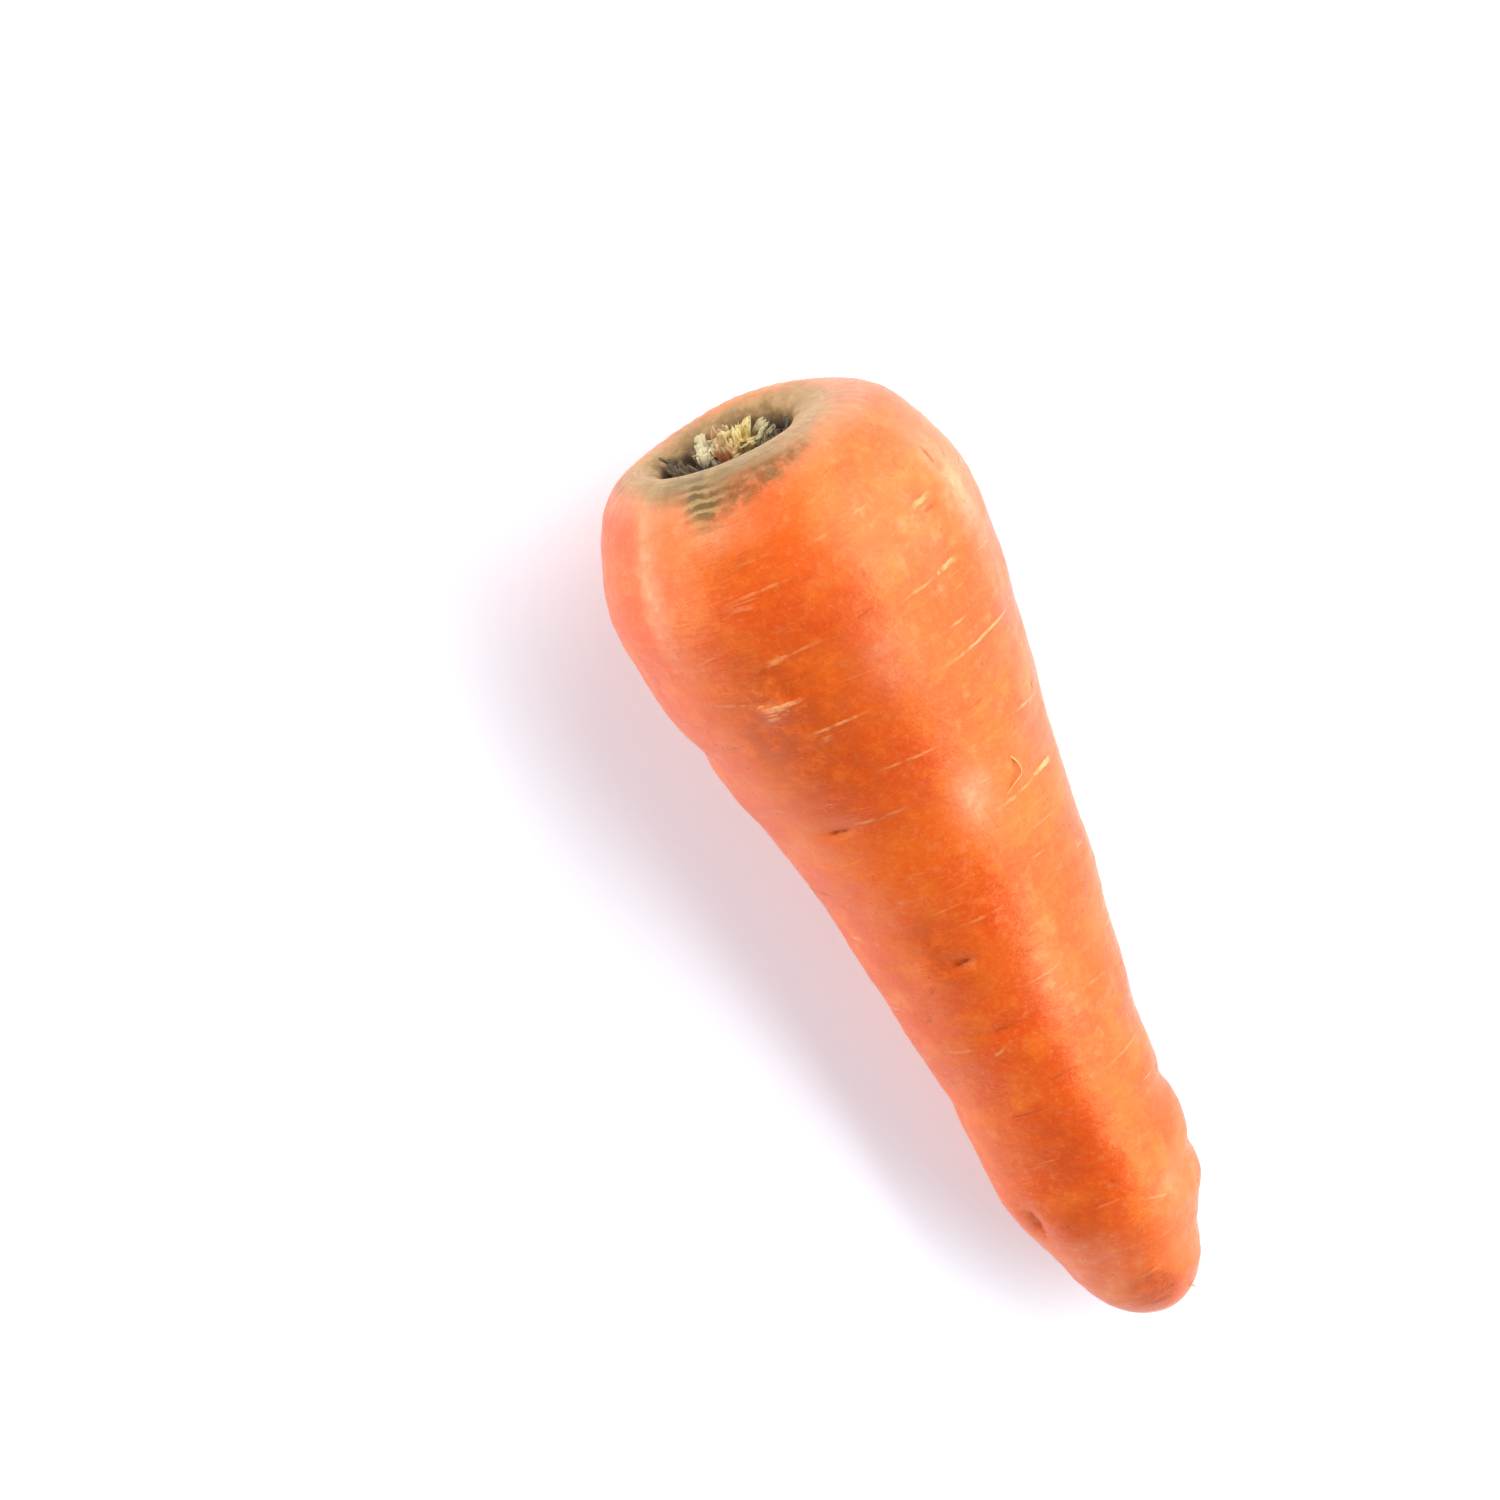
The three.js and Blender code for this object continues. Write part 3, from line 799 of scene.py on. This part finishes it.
# %% Skin: gloss, bump and the light that goes into the flesh
clean = paint.math("SUBTRACT", 1.0, collar)
gloss = paint.math("MULTIPLY_ADD", paint.noise(room, 0.3, 5, 0.65), 0.34, 0.15)
gloss = paint.math("MULTIPLY_ADD", collar, 0.22, gloss)
gloss = paint.math("MULTIPLY_ADD", in_hollow, 0.3, gloss)
gloss = paint.math("MULTIPLY_ADD", dark_line, 0.4, gloss)
specular = paint.math("MULTIPLY_ADD", dark_line, -0.5, 0.5)
height = paint.product(cells, 0.09)
height = paint.math("MULTIPLY_ADD", fine_streaks, 0.10, height)
height = paint.math("MULTIPLY_ADD", round_streaks, 0.12, height)
height = paint.product(height, paint.math("MULTIPLY_ADD", clean, 0.6, 0.4))
height = paint.math("MULTIPLY_ADD", radial, paint.product(collar, 0.25), height)
height = paint.math("MULTIPLY_ADD", pale_line, 0.08, height)
height = paint.math("MULTIPLY_ADD", dark_line, -0.12, height)
skin_mesh.materials.append(
    paint.shade(
        [
            ("Base Color", base),
            ("Roughness", gloss),
            ("IOR", 1.6),
            ("Specular IOR Level", specular),
            ("Specular Tint", (1.0, 0.82, 0.40, 1)),
            ("Subsurface Weight", 0.12),
            ("Subsurface Radius", (1.0, 0.35, 0.12)),
            ("Subsurface Scale", 0.003),
            ("Sheen Weight", paint.product(clean, 0.05)),
            ("Sheen Roughness", 0.5),
            ("Sheen Tint", (1.0, 0.80, 0.60, 1)),
        ],
        height,
    )
)
print("the skin's material has", len(paint.tree.nodes), "nodes")

# %% [markdown]
# ## Hair roots
# A few thread-like side roots are still there, dry and curled, and lie on the skin. Each is a
# short path over the skin, and a thin tube that tapers along it. Hair curves would be quicker to
# make, but a real tube can be used everywhere the carrot is used.

# %% Tubes along paths
def on_skin(at, side, above):
    """A point in own millimetres, a little above the skin."""
    row = crest + int(np.argmin(np.abs(rings[crest:, 0] - at)))
    column = round(side / 360 * SIDES) % SIDES
    outward = np.array([0, math.cos(math.radians(side)), math.sin(math.radians(side))])
    return skin_points[row, column] + outward * above


def tubes_mesh(name, paths, thick, sides=6):
    """One mesh of thin tapering tubes, in own millimetres."""
    corners, faces = [], []
    for path in paths:
        path = smooth_curve(path, 5)
        ahead = np.gradient(path, axis=0)
        first = np.cross(ahead, (0.36, 0.48, 0.8))
        first /= np.linalg.norm(first, axis=1)[:, None]
        second = np.cross(ahead, first)
        second /= np.linalg.norm(second, axis=1)[:, None]
        radius = thick * np.linspace(1, 0.4, len(path))[:, None]
        start = len(corners)
        for i in range(sides):
            around = 2 * math.pi * i / sides
            line = path + radius * (first * math.cos(around) + second * math.sin(around))
            corners.extend(laid_down(line).tolist())
        count = len(path)
        for i in range(sides):
            here, there = start + i * count, start + (i + 1) % sides * count
            faces.extend((here + k, there + k, there + k + 1, here + k + 1) for k in range(count - 1))
        faces.append([start + i * count for i in reversed(range(sides))])
        faces.append([start + (i + 1) * count - 1 for i in range(sides)])
    mesh = bpy.data.meshes.new(name)
    mesh.from_pydata(corners, [], faces)
    mesh.shade_smooth()
    return mesh


# %% Hair roots on the skin
HAIR = 0.2  # thickness from the middle outwards, at the thick end
# Places along each: mm below the rim, side, height above the skin.
HAIR_ROOTS = [
    [(57.6, 53, -0.2), (59, 50.5, 0.4), (60.6, 51, 0.5), (61.8, 55, 0.2), (62.6, 60, -0.1)],
    [(152.4, 44, -0.3), (152.8, 41, 0.5), (153.4, 38, 1.0)],
    [(109, 197, -0.3), (110.5, 200, 0.8), (110, 206, 1.1), (111.5, 211, 0.5)],
    [(80, 229, -0.3), (81, 234, 0.8), (83.5, 236, 0.6)],
    [(47, 318, -0.3), (46, 313, 0.8), (47.5, 308, 1.0), (49, 305, 0.3)],
    [(120, 285, -0.3), (121.5, 281, 0.6), (121, 276, 0.3)],
    [(100, 342, -0.3), (99, 338, 0.7), (100.5, 333, 0.6)],
]
paths = [[on_skin(*place) for place in root] for root in HAIR_ROOTS]
hairs = add_piece("hair_roots", tubes_mesh("hair_roots", paths, HAIR))
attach(hairs, "root")
hair_finish = Finish("hair_root")
hairs.data.materials.append(
    hair_finish.shade([("Base Color", (*colour(214, 160, 96), 1)), ("Roughness", 0.6)])
)
print(len(HAIR_ROOTS), "hair roots")

# %% [markdown]
# ## Cut leaf stalks
# Each leaf left a strip of dry fibre in the hollow: broad at its foot, curled round the axis,
# narrower and torn at the top. A leaf stalk could be swept along a curve, but its torn end is what
# the eye sees, so the strip is a grid instead: columns go round its section, rows go up, and
# the top row of each column stops at a different height. The strips stand in the spiral in which
# leaves grow, each turned by the golden angle from the last. The smallest strips, turned any way,
# are the crumbs of broken fibre that lie between them.

# %% A torn strip
GOLDEN_ANGLE = math.radians(137.5)
CURL = 0.45  # how far a strip's edges lie inward, as a share of its width
TEAR_WAVES = ((9, 1.0), (23, 0.8), (51, 0.5))  # waves over the width, and each one's share
LEAST_TEAR, MOST_TEAR = -0.5, 0.35


def strip(rng, turn_at, foot, top, wide, thick, slant=0.35, fray=0.12, bend=0.6, taper=0.3, spin=0.0):
    """Points of a closed strip: rows from foot to top, columns round its section.

    foot and top are millimetres below the rim and out from the middle of the crown.
    """
    columns, rows = 18, 16
    share = np.linspace(-0.5, 0.5, columns)
    curl = 4 * CURL * wide * share**2
    groove = 0.10 * thick * np.sin(share * wide * 8 + rng.uniform(0, 6))
    outer = np.stack([share * wide, groove - curl], -1)
    inner = np.stack([share * wide * 0.9, -curl - thick * (1 - 1.5 * share**2)], -1)[::-1]
    spun = [[math.cos(spin), math.sin(spin)], [-math.sin(spin), math.cos(spin)]]
    section = np.vstack([outer, inner]) @ np.array(spun)
    place = np.concatenate([share, share[::-1]])
    tear = rng.uniform(-slant, slant) * 2 * place
    for waves, part in TEAR_WAVES:
        tear += fray * part * np.sin(waves * place + rng.uniform(0, 6))
    tear = np.clip(tear, LEAST_TEAR, MOST_TEAR)
    up = np.linspace(0, 1, rows)[:, None]
    reach = up * (1 + tear * up**2)
    narrow = 1 - taper * reach
    x = foot[0] + (top[0] - foot[0]) * reach
    y = foot[1] + (top[1] - foot[1]) * reach + section[:, 1] * narrow
    z = section[:, 0] * narrow
    y += rng.uniform(-bend, bend) * reach**3
    z += rng.uniform(-bend, bend) * reach**2
    turned_y = y * math.cos(turn_at) - z * math.sin(turn_at) + CROWN_ASIDE
    turned_z = y * math.sin(turn_at) + z * math.cos(turn_at)
    return np.stack([x, turned_y, turned_z], -1)


def strips_mesh(name, strips, tones):
    """One mesh from many strips, each closed at its foot and along its torn top."""
    corners, faces, heights, colours = [], [], [], []
    for grid, tone in zip(strips, tones):
        start = len(corners)
        rows, columns, _ = grid.shape
        corners.extend(laid_down(grid).reshape(-1, 3).tolist())
        for row in range(rows - 1):
            for i in range(columns):
                j = (i + 1) % columns
                low, high = start + row * columns, start + (row + 1) * columns
                faces.append((low + i, high + i, high + j, low + j))
        half = columns // 2
        for end, order in ((start, -1), (start + (rows - 1) * columns, 1)):
            for i in range(half - 1):
                quad = (end + i, end + columns - 1 - i, end + columns - 2 - i, end + i + 1)
                faces.append(quad[::order])
        heights.extend(np.repeat(np.linspace(0, 1, rows), columns))
        colours.extend([(*tone, 1)] * (rows * columns))
    mesh = bpy.data.meshes.new(name)
    mesh.from_pydata(corners, [], faces)
    up = mesh.attributes.new("up", "FLOAT", "POINT")
    up.data.foreach_set("value", np.array(heights, np.float32))
    tone = mesh.attributes.new("tone", "FLOAT_COLOR", "POINT")
    tone.data.foreach_set("color", np.array(colours, np.float32).ravel())
    mesh.shade_smooth()
    return mesh


# %% [markdown]
# ## The foot of the leaves
# At the bottom of the hollow the leaves share a short woody stem, the stem plate. It is a low
# round pad, rough and dark. A lathe makes it too, with noise to break its top.

# %% The stem plate and the young stalks' foot
GAP = 0.3  # between pieces that touch
PLATE = 1.2  # thickness of the stem plate
PLATE_RADIUS = 9.0
PLATE_SEAT = HOLLOW - GAP
TUFT_PAD = 0.9  # thickness of the young stalks' foot
TUFT_RADIUS = 6.3
TUFT_SEAT = PLATE_SEAT - PLATE - GAP
ROUGH_TOP = 0.5


def pad_grid(seat, radius, thick, rough, sides=72, steps=26):
    """A round pad with a soft edge and a rough top, which rises towards the rim."""
    EDGE = 0.6
    top = seat - thick
    rough_from = seat - 0.6 * thick
    profile = np.array(
        [(top, 0), (top, radius - EDGE), (seat - thick / 2, radius), (seat, radius - EDGE), (seat, 0)]
    )
    lengths = np.concatenate([[0], np.cumsum(np.linalg.norm(np.diff(profile, axis=0), axis=1))])
    wanted = np.linspace(0, lengths[-1], steps)
    x, r = (np.interp(wanted, lengths, profile[:, i]) for i in range(2))
    angle = np.linspace(0, 2 * math.pi, sides, endpoint=False)
    grid = np.zeros((steps, sides, 3))
    for row in range(steps):
        for column in range(sides):
            y, z = r[row] * math.cos(angle[column]), r[row] * math.sin(angle[column])
            bumpy = noise.noise(Vector((x[row], y, z)) * 0.9) * rough
            rises = r[row] > 0 and x[row] < rough_from
            grid[row, column] = (x[row] - max(0, bumpy) * rises, y + CROWN_ASIDE, z)
    return grid


def pad_piece(name, *args):
    mesh = lathe_mesh(name, laid_down(pad_grid(*args)))
    return add_piece(name, mesh)


plate = pad_piece("stem_plate", PLATE_SEAT, PLATE_RADIUS, PLATE, ROUGH_TOP)
tuft_foot = pad_piece("stalk_tuft_foot", TUFT_SEAT, TUFT_RADIUS, TUFT_PAD, ROUGH_TOP)

# %% Withered outer stalks
WITHERED = 19
CRUMBS = 40
DARK_TONES = [(64, 48, 36), (86, 66, 48), (50, 38, 30), (116, 94, 66)]
rng = np.random.default_rng(5)
withered = []
for i in range(WITHERED):
    height = 2.7 + 0.9 * math.sin(2.3 * i) + rng.uniform(-0.5, 0.5)
    inward = 1.1 if i % 3 == 2 else 0
    foot = PLATE_SEAT - 0.4
    wide = 3.0 + 0.7 * math.sin(1.7 * i)
    top = (foot - height, 10.2 - 1.4 * inward)
    side = i * GOLDEN_ANGLE + rng.uniform(-0.12, 0.12)
    withered.append(strip(rng, side, (foot, 8.1 - inward), top, wide, 0.7, fray=0.16))
for i in range(CRUMBS):
    out = rng.uniform(4.5, 8.6)
    foot = PLATE_SEAT - 0.9
    top = (foot - rng.uniform(0.8, 2.2), out + rng.uniform(-0.6, 1.2))
    side = rng.uniform(0, 2 * math.pi)
    spin = rng.uniform(-1.2, 1.2)
    wide = rng.uniform(1.0, 2.2)
    withered.append(strip(rng, side, (foot, out), top, wide, 0.4, bend=1.0, spin=spin))
tones = [colour(*DARK_TONES[i % len(DARK_TONES)]) for i in range(len(withered))]
old_bases = add_piece("old_stalk_bases_fine", strips_mesh("old_stalk_bases_fine", withered, tones))
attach(plate, "root")
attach(old_bases, "root")
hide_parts("old_stalk_bases")
print(WITHERED, "withered stalks and", CRUMBS, "crumbs between them")

# %% [markdown]
# ## The tuft
# The youngest stalks are in the middle. They dried last, so they keep the most colour: pale and
# whitish on one side, orange-brown in the middle, and a clear yellow next to a grey-green. A tone
# is picked for each by where it stands across the tuft. Smaller flakes lie between them.

# %% Straw-coloured stubs
STUBS = 15
FLAKES = 44
TUFT_TONES = [(184, 172, 146), (206, 172, 116), (174, 108, 64), (222, 194, 116), (150, 142, 106)]
TONE_EDGES = [-4.0, -1.6, 0.4, 3.6]  # mm across the tuft, where one tone gives way to the next


def tuft_tone(across):
    return colour(*TUFT_TONES[np.digitize(across, TONE_EDGES)])


stubs = []
tones = []
for i in range(STUBS):
    spread = math.sqrt((i + 0.5) / STUBS)
    height = 3.6 - 0.9 * spread + 0.9 * math.sin(2.9 * i)
    foot = TUFT_SEAT - 0.3
    wide = 2.3 + 0.8 * spread
    side = i * GOLDEN_ANGLE + 0.4
    top = (foot - height, 6.4 * spread)
    spin = rng.uniform(-0.5, 0.5)
    stubs.append(strip(rng, side, (foot, 5.2 * spread), top, wide, 1.3, taper=0.0, spin=spin))
    tones.append(tuft_tone(6 * spread * math.cos(side)))
for i in range(FLAKES):
    spread = rng.uniform(0.1, 1)
    side = rng.uniform(0, 2 * math.pi)
    foot = TUFT_SEAT - rng.uniform(0.4, 1.6)
    height = rng.uniform(0.7, 1.9)
    lean = rng.uniform(-1.5, 1.5)
    top = (foot - height, 5.5 * spread + lean)
    wide = rng.uniform(0.9, 1.9)
    spin = rng.uniform(-1.6, 1.6)
    stubs.append(strip(rng, side, (foot, 5.5 * spread), top, wide, 0.8, bend=1.3, taper=0.0, spin=spin))
    tones.append(tuft_tone(6 * spread * math.cos(side) + rng.normal(0, 2.2)))
tuft = add_piece("leaf_stalk_tuft", strips_mesh("leaf_stalk_tuft", stubs, tones))
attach(tuft_foot, "root")
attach(tuft, "root")
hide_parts("leaf_stalk_stubs")
print(STUBS, "stubs and", FLAKES, "flakes")

# %% [markdown]
# ## Dry stalk and withered stalk
# Both are plant fibre, so one function makes both. It starts from the tone of each strip, darkens
# it towards the foot, bleaches it along the torn edge, and draws fibres, which are a noise
# stretched along the stalk.

# %% Fibre finishes
def fibre_finish(name, foot_tone, edge_tone, roughness):
    finish = Finish(name)
    room = finish.scaled(finish.add("TexCoord").outputs["Object"], 1000, 1000, 1000)
    fibres = finish.noise(finish.scaled(room, 0.5, 3.0, 3.0), 1.0, 3, 0.6)
    specks = finish.noise(room, 1.0, 3, 0.6)
    up = finish.math("MULTIPLY_ADD", specks, 0.6, finish.stored("up"))
    tone = finish.stored("tone", "Color")
    base = finish.mix(finish.step(up, 0.30, 0.75), foot_tone, tone)
    base = finish.mix(finish.share(up, 0.95, 1.35, 0.5), base, edge_tone)
    base = finish.mix(finish.share(fibres, 0.50, 0.30, 0.6), base, foot_tone)
    height = finish.math("MULTIPLY_ADD", specks, 0.12, finish.product(fibres, 0.2))
    return finish.shade([("Base Color", base), ("Roughness", roughness), ("IOR", 1.4)], height)


straw = fibre_finish("dry_stalk", colour(128, 84, 48), colour(240, 226, 176), 0.75)
brown = fibre_finish("withered_stalk", colour(36, 28, 26), colour(140, 126, 100), 0.85)
for piece, finish in ((tuft, straw), (tuft_foot, brown), (old_bases, brown), (plate, brown)):
    piece.data.materials.append(finish)

# %% [markdown]
# ## The floor and the light
# The carrot lies on a plain pale surface in a pale room. A wide window on its right gives that
# flank a broad sheen, and the brighter strip along the window's top gives the sheen its crisp
# edge. A low, warmer window on the left, a little behind the crown, lightens the other shoulder.
# One lamp straight above would be simpler, but it would bleach the middle of the root, which here
# keeps its own colour. The bright floor lights the flanks from below.

# %% Floor
FLOOR = 6  # metres, so that its edge is far outside the picture
bpy.ops.mesh.primitive_plane_add(size=FLOOR)
floor = bpy.context.object
floor.name = "floor"
floor_finish = Finish("floor")
floor.data.materials.append(
    floor_finish.shade(
        [
            ("Base Color", (0.84, 0.88, 0.94, 1)),
            ("Roughness", 0.9),
            ("Emission Color", (0.80, 0.84, 1.0, 1)),
            ("Emission Strength", 0.22),
        ]
    )
)

# %% Lights
def soft_light(name, wide, high, power, azimuth, elevation, distance, tint):
    """A light like a window that faces the carrot.

    Sizes are in metres, power in watts and angles in degrees. Azimuth 90 is the right flank.
    """
    target = (0, 0, 0.02)
    data = bpy.data.lights.new(name, "AREA")
    data.shape = "RECTANGLE"
    data.size = wide
    data.size_y = high
    data.energy = power
    data.color = tint
    light = bpy.data.objects.new(name, data)
    bpy.context.scene.collection.objects.link(light)
    a, e = math.radians(azimuth), math.radians(elevation)
    offset = Vector((math.cos(a) * math.cos(e), math.sin(a) * math.cos(e), math.sin(e))) * distance
    light.location = Vector(target) + offset
    light.rotation_euler = (-offset).to_track_quat("-Z", "Y").to_euler()
    return light


soft_light("big_window", 2.4, 0.8, 15.6, 92, 28, 0.8, (1.0, 0.96, 0.86))
soft_light("window_top", 2.4, 0.10, 8.0, 92, 52, 0.8, (0.90, 0.95, 1.0))
soft_light("far_window", 1.5, 0.4, 10, 243, 13, 0.9, (1.0, 0.91, 0.8))
world = bpy.data.worlds.new("pale_room")
bpy.context.scene.world = world
world.use_nodes = True
backdrop = world.node_tree.nodes["Background"]
backdrop.inputs["Color"].default_value = (0.84, 0.88, 0.97, 1)
backdrop.inputs["Strength"].default_value = 0.38
bpy.context.scene.view_settings.view_transform = "Standard"

# %% [markdown]
# ## The camera
# The photo looks down on the carrot, a little from its crown's side, so that the hollow shows. A
# long lens keeps the perspective weak. The camera is set by what it looks at, by its height
# angle, and by how the carrot's axis lies in the picture.

# %% Camera
ELEVATION = math.radians(79.6)
DISTANCE = 0.85
LOOK_AT = Vector((-0.0310, -0.0183, 0.025))
PICTURE = 1500  # pixels, both ways
METRES_PER_PIXEL = 0.14876 * MM  # at LOOK_AT
AXIS_RIGHT, AXIS_DOWN = 0.4265, 0.9044  # the way from crown to tip, in the picture

away = Vector((-math.cos(ELEVATION), 0, math.sin(ELEVATION)))
crown_to_tip = Vector((1, 0, 0))
crown_to_tip = (crown_to_tip - away * crown_to_tip.dot(away)).normalized()
across = away.cross(crown_to_tip)
right = crown_to_tip * AXIS_RIGHT + across * AXIS_DOWN
upward = away.cross(right)
camera_data = bpy.data.cameras.new("camera")
camera_data.sensor_width = 36
camera_data.lens = 36 * DISTANCE / (METRES_PER_PIXEL * PICTURE)
camera = bpy.data.objects.new("camera", camera_data)
turned = Matrix((right, upward, away)).transposed().to_4x4()
camera.matrix_world = Matrix.Translation(LOOK_AT + away * DISTANCE) @ turned
bpy.context.scene.collection.objects.link(camera)
bpy.context.scene.camera = camera
print("lens", round(camera_data.lens, 1), "mm")
